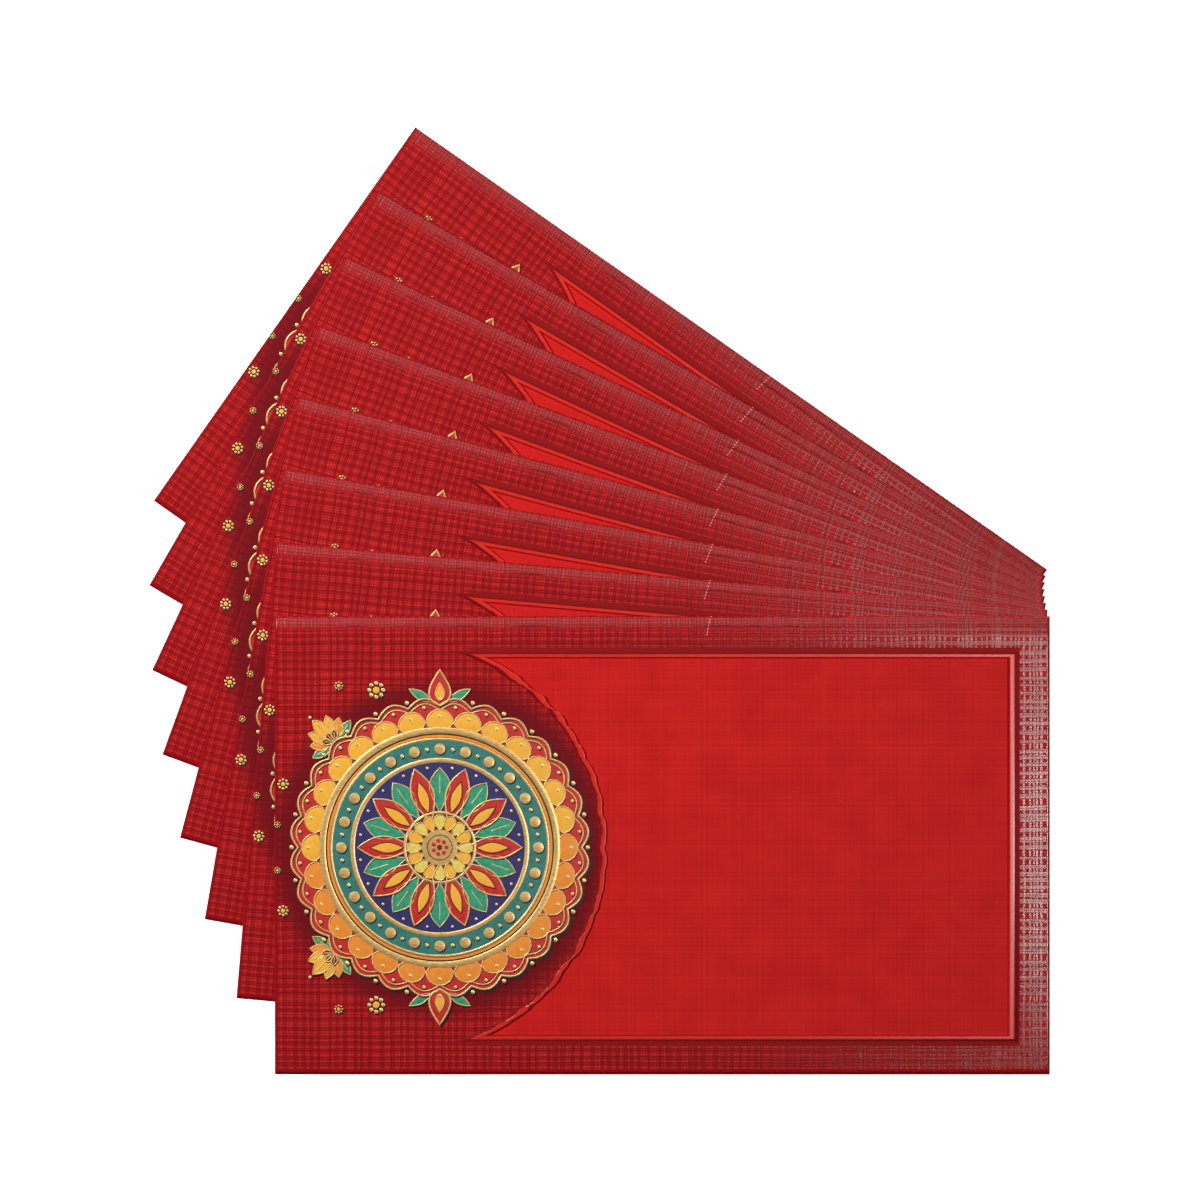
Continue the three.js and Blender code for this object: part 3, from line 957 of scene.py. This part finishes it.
# From the bottom up. "In" is in from the medallion's rim, a turn is a share of the step between copies
flatBands = [  # ink, outer and inner edge in from the rim, top
    ("black", 7.2, medalRadius - ornament["hub"], 0.2),
    ("orange", 9.1, 9.7, 0.23),
    ("teal", 10.4, 14.6, 0.23),
    ("navy", 15.7, medalRadius - ornament["hub"], 0.22),
]
hoops = [(8.0, 1.5), (10.1, 0.6), (15.2, 1.1)]  # middle in from the rim, width
studRings = [  # count, turn, middle in from the rim, radius, base, rise, steps round a stud
    (28, 0.5, 2.4, 0.42, 0.16, 0.17, 10),
    (28, 0.0, 0.6, 0.5, 0.16, 0.17, 10),
    (28, 0.0, 4.6, 0.42, 0.22, 0.12, 10),
    (24, 0.0, 12.5, 1.3, 0.23, 0.16, 16),
    (24, 0.5, 12.5, 0.45, 0.23, 0.12, 10),
    (20, 0.5, 16.9, 0.34, 0.22, 0.12, 10),
]
scales = {"rootIn": 8.4, "tipIn": 3.0, "halfWide": 3.3, "rise": 0.1}
petalRings = [  # ink, turn, root, tip in from the rim, half width, widest at, base, crown, wire and its ink
    ("green", 0.5, 8.0, 17.0, 2.5, 0.6, 0.22, 0.3, 0.32, "gold"),
    ("scarlet", 0.0, 6.0, 16.4, 2.7, 0.55, 0.26, 0.36, 0.425, "gold"),
    ("saffron", 0.0, 8.6, 19.4, 1.3, 0.5, 0.32, 0.37, 0.25, "maroon"),
]
veins = {"turn": 0.5, "from": 13.0, "to": 17.4, "base": 0.3}


def laceEdge(bm):  # the scalloped plate, its printed shadow and two wires along it
    depth = ornament["scallopDepth"]
    top = ornament["plateTop"]
    flat = ornament["edgeShadowTop"]
    shift = shadowShift * ornament["edgeShadowFar"]
    plate = scallopPath(medalRadius, depth)
    shadow = [point * ornament["edgeShadowGrow"] + shift for point in plate]
    addShell(bm, cushion(shadow, 0, flat, flat, shadowShift), "black")
    addShell(bm, cushion(plate, 0, top, top, Vector((0.0, 0.0))), "scarlet")
    wires(bm, [scallopPath(medalRadius - ornament["wireIn"], depth)], ornament["wire"], top)
    wires(bm, [scallopPath(medalRadius - ornament["fineWireIn"], depth)], ornament["fineWire"], top)


def scaleRing(bm):  # saffron round the upper half, orange round the lower
    root = medalRadius - scales["rootIn"]
    tip = medalRadius - scales["tipIn"]
    top = ornament["plateTop"]
    half = ornament["scallops"] // 2
    for ink, first in (("saffron", 1), ("orange", 1 + half)):
        angles = [i * 180 / half for i in range(first, first + half)]
        outlines = [dropPath(polar(root, angle), polar(tip, angle), scales["halfWide"]) for angle in angles]
        filled(bm, outlines, top, top + scales["rise"], ink, ornament["fineWire"])


def rings(bm):
    for ink, outerIn, innerIn, top in flatBands:
        flatBand(bm, medalRadius - innerIn, medalRadius - outerIn, top, ink)
    for middleIn, width in hoops:
        hoop(bm, medalRadius - middleIn, width, ornament["bandTop"])
    for count, turn, middleIn, radius, base, rise, steps in studRings:
        studs(bm, around(count, medalRadius - middleIn, turn), radius, base, rise, "gold", steps)


def flower(bm):
    count = ornament["petals"]
    for ink, turn, root, tipIn, halfWide, widest, base, crown, wire, wireInk in petalRings:
        ends = zip(around(count, root, turn), around(count, medalRadius - tipIn, turn))
        outlines = [leafPath(low, high, halfWide, widest) for low, high in ends]
        filled(bm, outlines, base, crown, ink, wire, wireInk)
    ends = zip(around(count, veins["from"], veins["turn"]), around(count, veins["to"], veins["turn"]))
    wires(bm, [list(pair) for pair in ends], ornament["hairWire"], veins["base"], closed=False, shade=False)


bossForm = {
    "collar": 8.6,
    "collarTop": 0.34,
    "hoop": 8.4,
    "hoopWidth": 0.7,
    "hoopBase": 0.28,
    "drops": 8,  # of each colour
    "dropRoot": 4.0,
    "dropTip": 7.9,
    "dropHalf": 1.35,
    "dropRise": 0.05,
    "foot": 4.3,
    "crown": 3.7,
    "wall": 0.03,
    "ring": 3.0,
    "ringSteps": 24,
    "seeds": 7,  # round a larger one
    "seedRing": 1.6,
    "seed": 0.55,
    "largeSeed": 0.7,
    "under": 0.02,  # how far the seeds' feet stay under the medallion's full height
}


def boss(bm):
    collar = bossForm["collarTop"]
    flatBand(bm, 0.0, bossForm["collar"], collar, "maroon")
    hoop(bm, bossForm["hoop"], bossForm["hoopWidth"], bossForm["hoopBase"])
    for ink, turn in (("cream", 0.0), ("saffron", 0.5)):
        roots = around(bossForm["drops"], bossForm["dropRoot"], turn)
        tips = around(bossForm["drops"], bossForm["dropTip"], turn)
        outlines = [dropPath(root, tip, bossForm["dropHalf"]) for root, tip in zip(roots, tips)]
        filled(bm, outlines, collar, collar + bossForm["dropRise"], ink, ornament["hairWire"])
    under = bossForm["under"]
    wall = bossForm["wall"]
    top = medalTop - medalBottom - under
    addShell(bm, spun([(0, 0), (bossForm["foot"], 0), (bossForm["foot"], collar + wall),
                       (bossForm["crown"], top - wall), (0, top - wall)]), "gold")
    ring = around(bossForm["ringSteps"], bossForm["ring"])
    wires(bm, [ring], ornament["hairWire"], top - 2 * under, "maroon", shade=False)
    seeds = around(bossForm["seeds"], bossForm["seedRing"])
    addShell(bm, cushion(around(8, bossForm["seed"]), 0, top - under, top), "scarlet", seeds)
    addShell(bm, cushion(around(8, bossForm["largeSeed"]), 0, top - under, top), "maroon")


finialLeaf = {"rootIn": 1.2, "tipIn": -2.6, "rootTurn": 3, "tipTurn": 11, "halfWide": 1.0, "base": 0.06,
              "crown": 0.16}
finialDrops = [  # ink, root in from the rim, tip short by, half width, widest at, base, crown, wire
    ("scarlet", 2.2, 0.4, 2.6, 0.36, 0.16, 0.26, 0.5),
    ("saffron", 1.0, 3.4, 1.1, 0.4, 0.22, 0.28, 0.25),
]


def finials(bm):  # a pointed drop between two leaves, above and below
    leaf = finialLeaf
    for degrees in (90, -90):
        leaves = [leafPath(polar(medalRadius - leaf["rootIn"], degrees + side * leaf["rootTurn"]),
                           polar(medalRadius - leaf["tipIn"], degrees + side * leaf["tipTurn"]),
                           leaf["halfWide"]) for side in (-1, 1)]
        filled(bm, leaves, leaf["base"], leaf["crown"], "green", ornament["fineWire"])
        for ink, rootIn, short, halfWide, widest, base, crown, wire in finialDrops:
            root = polar(medalRadius - rootIn, degrees)
            outline = leafPath(root, polar(finialReach - short, degrees), halfWide, widest)
            filled(bm, [outline], base, crown, ink, wire)


sprayBlades = [  # angles off the spray's own, reach, half width, base, ink
    ((-78, 78), 6.6, 1.15, 0.04, "green"),
    ((-52, 52), 6.2, 1.3, 0.08, "orange"),
    ((-26, 26), 7.0, 1.4, 0.11, "saffron"),
    ((0,), 7.8, 1.6, 0.15, "saffron"),
    ((-36, 0, 36), 3.4, 0.75, 0.22, "maroon"),
]
spray = {
    "rootIn": 0.8,
    "start": 0.6,
    "widest": 0.55,
    "rise": 0.09,
    "vein": (0.35, 0.8),  # shares of the reach
    "studAt": 8.7,
    "stud": 0.4,
    "studRise": 0.2,
}


def halfFlower(bm, degrees):  # blades over two leaves, grown out of the rim
    root = polar(medalRadius - spray["rootIn"], degrees)
    for spreads, reach, halfWide, base, ink in sprayBlades:
        angles = [degrees + spread for spread in spreads]
        outlines = [leafPath(root + polar(spray["start"], angle), root + polar(reach, angle), halfWide,
                             spray["widest"]) for angle in angles]
        crown = base + spray["rise"]
        filled(bm, outlines, base, crown, ink, ornament["fineWire"])
        lines = [[root + polar(reach * share, angle) for share in spray["vein"]] for angle in angles]
        wires(bm, lines, ornament["hairWire"], crown, closed=False, shade=False)
    studs(bm, [root + polar(spray["studAt"], degrees)], spray["stud"], 0, spray["studRise"], "gold")


floretPairs = [(68, 4.6, 2.3), (22, 4.4, 1.5), (58, 9.6, 1.2), (8, 3.2, 0.9)]  # angle, gap to the rim, size
floret = {"heart": 0.36, "heartRise": 0.16, "ring": 0.72, "bead": 0.21, "beads": 8, "beadRise": 0.14,
          "base": 0.02}


def florets(bm):  # a bead inside a ring of beads, above and below the line to the medallion's left
    for angle, gap, size in floretPairs:
        ring = around(floret["beads"], size * floret["ring"])
        for side in (-1, 1):
            place = polar(medalRadius + gap, 180 + side * angle)
            studs(bm, [place], size * floret["heart"], floret["base"], floret["heartRise"], "saffron")
            studs(bm, [place + step for step in ring], size * floret["bead"], floret["base"],
                  floret["beadRise"], "gold", floret["beads"])


def medallion():
    bm = bmesh.new()
    for layer in (laceEdge, scaleRing, rings, flower, boss, finials):
        layer(bm)
    for degrees in (135, 225):
        halfFlower(bm, degrees)
    florets(bm)
    bmesh.ops.translate(bm, verts=bm.verts[:], vec=(medalX, medalY, medalBottom))
    return bm


mottle = {
    "lightUpTo": 0.3,
    "darkFrom": 0.7,
    "relief": 0.00002,  # m
    "reliefShows": 0.5,
}


def makeInk(name, light, dark, grain, values, stretch=1.0):
    material, add, shader = newMaterial(name, values)
    point = sheetPoint(add)
    drawn = add("VectorMath", {0: point, 1: (1 / stretch, 1.0, 1.0)}, operation="MULTIPLY")
    cloud = add("TexNoise", {
        "Vector": drawn, "Scale": 1 / grain, "Detail": 4.0, "Roughness": 0.65,
    }, noise_dimensions="2D")
    share = add("MapRange", {
        "Value": cloud, "From Min": mottle["lightUpTo"], "From Max": mottle["darkFrom"],
    })
    colour = add("Mix", {"Factor": share, 6: linear(light), 7: linear(dark)}, data_type="RGBA")
    bump = add("Bump", {"Height": cloud, "Strength": mottle["reliefShows"], "Distance": mottle["relief"]})
    feed(shader, {"Base Color": colour, "Normal": bump})
    return material


# Gold: bronze pigment bound in varnish, brushed sideways by the press, so it glints but stays ochre
# Inks: process colours under clear UV varnish, solid with the fine mottle of a print
bronze = {"Roughness": 0.36, "Metallic": 0.35, "Specular IOR Level": 0.5}
varnished = {"Roughness": 0.42, "Specular IOR Level": 0.3}
inkMaterials = [
    makeInk("bronzePigmentVarnish", "#e2bd78", "#b08848", 0.28, bronze, 6.0),
    makeInk("scarletInkVarnished", "#d2241c", "#b01a18", 1.2, varnished),
    makeInk("saffronInkVarnished", "#f6b638", "#eea830", 1.6, varnished),
    makeInk("orangeInkVarnished", "#f0922c", "#e68426", 1.6, varnished),
    makeInk("tealInkVarnished", "#2f8078", "#256a62", 1.4, varnished),
    makeInk("navyInkVarnished", "#2b2a6e", "#211f58", 1.4, varnished),
    makeInk("maroonInkVarnished", "#701419", "#5a1014", 1.2, varnished),
    # black ink for the black band, and for the painted shadows set off to the lower right of the raised
    # parts
    makeInk("blackInkAndPaintedShadows", "#241412", "#160d0c", 1.2, varnished),
    makeInk("creamInkVarnished", "#ecd868", "#dcc04e", 0.9, varnished),
    makeInk("greenInkVarnished", "#2ca57f", "#1f8564", 1.4, varnished),
]

layOnEnvelopes(finishMesh(medallion(), "medallion", inkMaterials, False), "medallion",
               "foil_medallion")
print("medallion made")


# Stage: pale floor, key lamp from the upper left, softboxes for the gloss on the right

stage = {
    "floorSize": 6.0,
    "floorDrop": 0.0002,
    "floorColour": "#f4f4f4",
    "floorGlow": 1.02,
    "fill": 0.05,
    "softbox": "#fffaf4",  # slightly warm
    "cameraHeight": 3.0,
    "cameraX": 0.00024,
    "frameWidth": 0.2887,  # what the photograph's frame spans at the envelopes
    "focusHeight": 0.007,
    "sensor": 36.0,
}

floorMesh = bmesh.new()
bmesh.ops.create_grid(floorMesh, x_segments=1, y_segments=1, size=stage["floorSize"] / 2)
bmesh.ops.translate(floorMesh, verts=floorMesh.verts[:], vec=(0, 0, -stage["floorDrop"]))
floorData = bpy.data.meshes.new("floor")
floorMesh.to_mesh(floorData)
floorMesh.free()
floor = bpy.data.objects.new("floor", floorData)
bpy.context.scene.collection.objects.link(floor)
floorMaterial, _, _ = newMaterial("paperSweep", {
    "Base Color": linear(stage["floorColour"]), "Roughness": 0.9,
    "Emission Color": linear("#ffffff"), "Emission Strength": stage["floorGlow"],
})
floorData.materials.append(floorMaterial)

world = bpy.data.worlds.new("studio")
world.use_nodes = True
world.node_tree.nodes["Background"].inputs["Color"].default_value = linear("#ffffff")
world.node_tree.nodes["Background"].inputs["Strength"].default_value = stage["fill"]
bpy.context.scene.world = world

lamps = {  # the key lights the card, and the softboxes show only in its gloss
    "key": {"at": (-0.42, 0.40, 0.62), "aim": (0, 0, 0), "size": (0.3, 0.3), "watts": 9.2},
    "top": {"at": (0.05, 0.75, 0.42), "aim": (0.05, 0, 0), "size": (1.0, 0.3), "watts": 2.5},
    "rim": {"at": (0.05, 0.5, 0.6), "aim": (0.05, 0.05, 0), "size": (1.0, 0.45), "watts": 2.5},
    "broad": {"at": (0.14, 0.05, 0.36), "aim": (0.14, 0.05, 0), "size": (0.14, 0.18), "watts": 0.25},
    "window": {"at": (0.168, -0.055, 0.36), "aim": (0.168, -0.055, 0), "size": (0.08, 0.1), "watts": 1.0},
}
for name, lamp in lamps.items():
    data = bpy.data.lights.new(name, "AREA")
    data.shape = "RECTANGLE"
    data.size, data.size_y = lamp["size"]
    data.energy = lamp["watts"]
    if name != "key":
        data.color = linear(stage["softbox"])[:3]
    light = bpy.data.objects.new(name, data)
    light.location = lamp["at"]
    light.rotation_euler = (Vector(lamp["aim"]) - Vector(lamp["at"])).to_track_quat("-Z", "Y").to_euler()
    light.visible_camera = False
    light.visible_diffuse = name == "key"
    bpy.context.scene.collection.objects.link(light)

cameraData = bpy.data.cameras.new("camera")
cameraData.sensor_width = stage["sensor"]
distance = stage["cameraHeight"] - stage["focusHeight"]
cameraData.lens = stage["sensor"] * distance / stage["frameWidth"]
cameraData.clip_end = 100
camera = bpy.data.objects.new("camera", cameraData)
camera.location = (stage["cameraX"], 0, stage["cameraHeight"])
bpy.context.scene.collection.objects.link(camera)
bpy.context.scene.camera = camera
bpy.context.scene.view_settings.view_transform = "Standard"
print("stage set")
